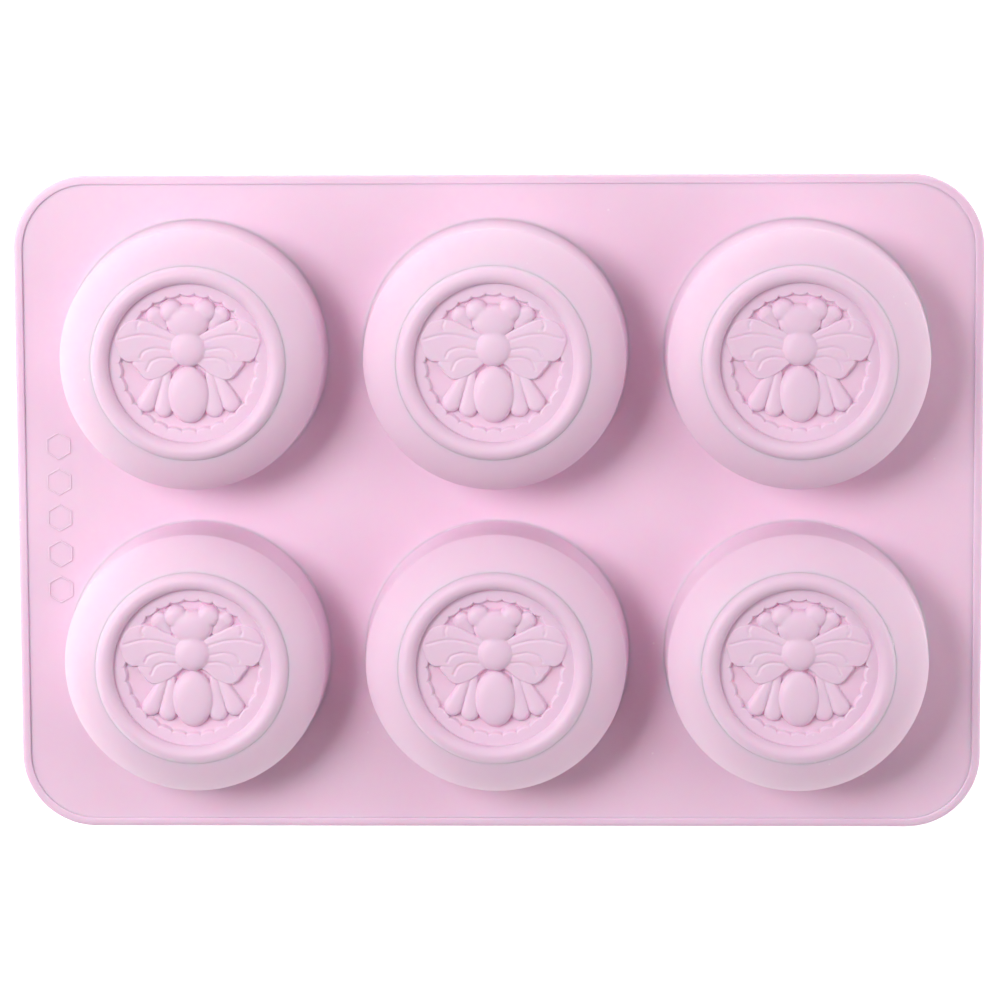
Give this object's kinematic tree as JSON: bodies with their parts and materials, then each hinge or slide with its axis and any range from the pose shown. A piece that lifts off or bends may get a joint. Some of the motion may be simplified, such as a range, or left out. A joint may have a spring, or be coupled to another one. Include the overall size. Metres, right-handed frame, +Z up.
{
  "type": "silicone soap mould",
  "caption": "Flexible silicone soap mould, upside down: a flat rimmed flange with round cups whose closed ends carry a raised ring and a bee relief.",
  "frame": {"origin": "centre of the open face, on the flange's flat underside, which is the surface that it stands on", "axes": "+X along a row of cups, the long way; +Y across the rows; +Z up, from the open face to the closed ends"},
  "size_m": [0.26, 0.1774, 0.0301],
  "materials": {
    "silicone": "satin, slightly translucent pale pink silicone"
  },
  "bodies": {
    "tray": {"flange_sheet": "silicone", "rim_bead": "silicone", "embossed_marks": "silicone", "cup_1_wall": "silicone", "cup_1_shoulder": "silicone", "cup_2_wall": "silicone", "cup_2_shoulder": "silicone", "cup_3_wall": "silicone", "cup_3_shoulder": "silicone", "cup_4_wall": "silicone", "cup_4_shoulder": "silicone", "cup_5_wall": "silicone", "cup_5_shoulder": "silicone", "cup_6_wall": "silicone", "cup_6_shoulder": "silicone"},
    "closed_end_1": {"cup_1_ring": "silicone", "cup_1_floor": "silicone", "cup_1_scallops": "silicone", "cup_1_bee_body": "silicone", "cup_1_bee_wings": "silicone", "cup_1_bee_legs": "silicone"},
    "closed_end_2": {"cup_2_ring": "silicone", "cup_2_floor": "silicone", "cup_2_scallops": "silicone", "cup_2_bee_body": "silicone", "cup_2_bee_wings": "silicone", "cup_2_bee_legs": "silicone"},
    "closed_end_3": {"cup_3_ring": "silicone", "cup_3_floor": "silicone", "cup_3_scallops": "silicone", "cup_3_bee_body": "silicone", "cup_3_bee_wings": "silicone", "cup_3_bee_legs": "silicone"},
    "closed_end_4": {"cup_4_ring": "silicone", "cup_4_floor": "silicone", "cup_4_scallops": "silicone", "cup_4_bee_body": "silicone", "cup_4_bee_wings": "silicone", "cup_4_bee_legs": "silicone"},
    "closed_end_5": {"cup_5_ring": "silicone", "cup_5_floor": "silicone", "cup_5_scallops": "silicone", "cup_5_bee_body": "silicone", "cup_5_bee_wings": "silicone", "cup_5_bee_legs": "silicone"},
    "closed_end_6": {"cup_6_ring": "silicone", "cup_6_floor": "silicone", "cup_6_scallops": "silicone", "cup_6_bee_body": "silicone", "cup_6_bee_wings": "silicone", "cup_6_bee_legs": "silicone"}
  },
  "joints": [
    {"name": "push_closed_end_1", "type": "slide", "parent": "tray", "child": "closed_end_1", "axis": [0, 0, -1], "range_m": [0, 0.008], "stiffness_N_per_m": 1500, "deforming": ["cup_1_shoulder"]},
    {"name": "push_closed_end_2", "type": "slide", "parent": "tray", "child": "closed_end_2", "axis": [0, 0, -1], "range_m": [0, 0.008], "stiffness_N_per_m": 1500, "deforming": ["cup_2_shoulder"]},
    {"name": "push_closed_end_3", "type": "slide", "parent": "tray", "child": "closed_end_3", "axis": [0, 0, -1], "range_m": [0, 0.008], "stiffness_N_per_m": 1500, "deforming": ["cup_3_shoulder"]},
    {"name": "push_closed_end_4", "type": "slide", "parent": "tray", "child": "closed_end_4", "axis": [0, 0, -1], "range_m": [0, 0.008], "stiffness_N_per_m": 1500, "deforming": ["cup_4_shoulder"]},
    {"name": "push_closed_end_5", "type": "slide", "parent": "tray", "child": "closed_end_5", "axis": [0, 0, -1], "range_m": [0, 0.008], "stiffness_N_per_m": 1500, "deforming": ["cup_5_shoulder"]},
    {"name": "push_closed_end_6", "type": "slide", "parent": "tray", "child": "closed_end_6", "axis": [0, 0, -1], "range_m": [0, 0.008], "stiffness_N_per_m": 1500, "deforming": ["cup_6_shoulder"]}
  ]
}
